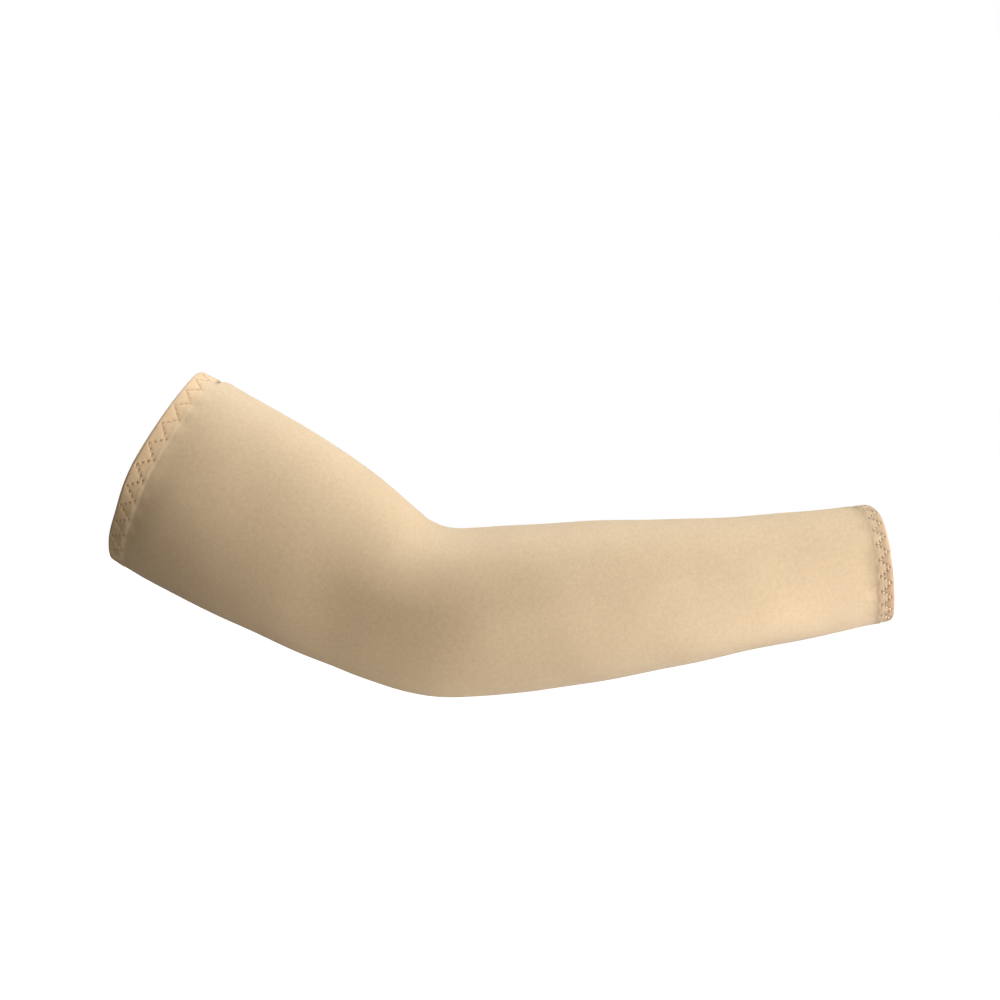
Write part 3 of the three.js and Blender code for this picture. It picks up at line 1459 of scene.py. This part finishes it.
@dataclass
class Studio:
    """Floor, room light, lamps and camera."""

    floor_height: float = -0.60
    floor_size: float = 30.0
    room_light: float = 0.165
    room_lean: Place = (0.100, -0.014, 0.088)
    room_tint: Colour = (1.0, 0.95, 0.88, 1.0)
    backdrop: float = 1.0
    camera_distance: float = 0.70
    camera_aim: tuple[float, float] = (0.17125, -0.0175)
    view_width: float = 0.50
    sensor: float = 36.0
    lamps: tuple[SoftLamp, ...] = (
        SoftLamp("top_lamp", (0.0, 0.15, 0.70), size=0.70, power=5.1, colour=(0.97, 1.0, 1.03)),
        SoftLamp("right_lamp", (0.77, -0.30, 0.05), size=0.50, power=3.75, colour=(0.99, 1.0, 1.02)),
        SoftLamp("low_right_lamp", (0.85, -0.10, -0.31), size=0.45, power=2.8, colour=(0.96, 1.0, 1.08)),
        SoftLamp("front_lamp", (0.50, -0.80, -0.30), size=0.45, power=1.0, colour=(1.12, 1.0, 0.88)),
        SoftLamp("elbow_lamp", (0.115, -0.04, -0.27), size=0.30, power=0.16, colour=(1.05, 1.0, 0.92)),
    )

    def _floor(self) -> None:
        """Lays the floor."""
        bpy.ops.mesh.primitive_plane_add(size=self.floor_size, location=(0.0, 0.0, self.floor_height))
        floor = bpy.context.object
        floor.name = "studio_floor"
        floor.visible_diffuse = False
        floor.visible_glossy = False
        floor.data.materials.append(FloorFinish().material())

    def _room(self) -> None:
        """Makes the room white to the eye and dimmer as a light."""
        world = bpy.data.worlds.new("pale_room")
        bpy.context.scene.world = world
        board = Board(world)
        seen = board.node("ShaderNodeLightPath", {}, {}, "Is Camera Ray")
        heading = board.node("ShaderNodeTexCoord", {}, {}, "Generated")
        sockets = {0: heading, 1: self.room_lean}
        lean = board.node("ShaderNodeVectorMath", {"operation": "DOT_PRODUCT"}, sockets, "Value")
        sockets = {"Value": seen, "To Min": lean + self.room_light, "To Max": self.backdrop}
        strength = board.node("ShaderNodeMapRange", {}, sockets)
        tint = board.blend(seen, self.room_tint, WHITE)
        shader = board.node("ShaderNodeBackground", {}, {"Color": tint, "Strength": strength})
        board.finish(shader, "ShaderNodeOutputWorld")

    def _camera(self) -> None:
        """Sets the camera square on to the plane that the elbow bends in."""
        x, z = self.camera_aim
        bpy.ops.object.camera_add(location=(x, -self.camera_distance, z), rotation=(HALF * math.pi, 0.0, 0.0))
        camera = bpy.context.object
        camera.data.sensor_width = self.sensor
        camera.data.lens = self.sensor * self.camera_distance / self.view_width
        bpy.context.scene.camera = camera

    def build(self) -> None:
        """Sets up the whole studio."""
        self._floor()
        self._room()
        for lamp in self.lamps:
            lamp.build()
        self._camera()
        bpy.context.scene.view_settings.view_transform = "Standard"


def main() -> None:
    """Builds the sleeve piece by piece and sets it in the studio."""
    logging.basicConfig(level=logging.INFO, format="%(name)s: %(message)s")
    form = ArmForm()
    knit = KnitFinish(
        "beige_knit", light=(0.845, 0.645, 0.412, 1.0), dark=(0.72, 0.536, 0.335, 1.0),
        # The upper band's colours carry painted light, the wrist band's painted shade.
        band_lit_shaded_light={Mark.UPPER: (0.940, 0.690, 0.425, 1.0), Mark.WRIST: (0.640, 0.460, 0.285, 1.0)},
        band_lit_shaded_dark={Mark.UPPER: (0.830, 0.590, 0.350, 1.0), Mark.WRIST: (0.510, 0.355, 0.215, 1.0)},
    )
    thread = ThreadFinish("beige_thread", (0.95, 0.80, 0.60, 1.0), (0.80, 0.62, 0.42, 1.0))
    # A darker copy of the zigzag thread: painted shade where it lies sunk in the upper hem.
    shaded_thread = ThreadFinish("shaded_beige_thread", (0.86, 0.63, 0.39, 1.0), (0.65, 0.465, 0.275, 1.0))
    upper = HemShape(
        Rim.UPPER, form, Zigzag(repeats=26, outer=0.0021, width=0.0054, start=-0.16), depth=0.0105,
    )
    wrist = HemShape(
        Rim.WRIST, form, Zigzag(repeats=22, outer=0.0021, width=0.0046, start=-0.12), depth=0.0090,
        proud=0.00030, held=0.62, groove=0.00022, hole_top=FULL, dip=0.00012, dip_run=0.0026, tack=0.00012,
        # The wrist's fold and band carry painted shade, stronger on the low side.
        roll=0.0009, roll_run=0.0030, fold_shade_run=0.0056, shade_top=0.50, band_fade=0.0140, band_shift=0.0045,
        flare=0.0, notch=0.0002, notch_run=0.0022, notch_width=0.0120, notch_shade=0.35,
    )
    panel_maker = KnitPanel(form, upper, wrist, knit)
    panel = panel_maker.build()
    sewn: list[Piece] = []
    for maker in (
        TurnedHem(upper, knit, shaded_thread, around=832, thread_rise=0.00006),
        TurnedHem(wrist, knit, thread, around=528, thread_rise=0.00020),
        LongSeam(form, upper, wrist, knit, thread),
    ):
        sewn += [maker.build(), maker.sew()]
    Studio().build()


if __name__ == "__main__":
    main()
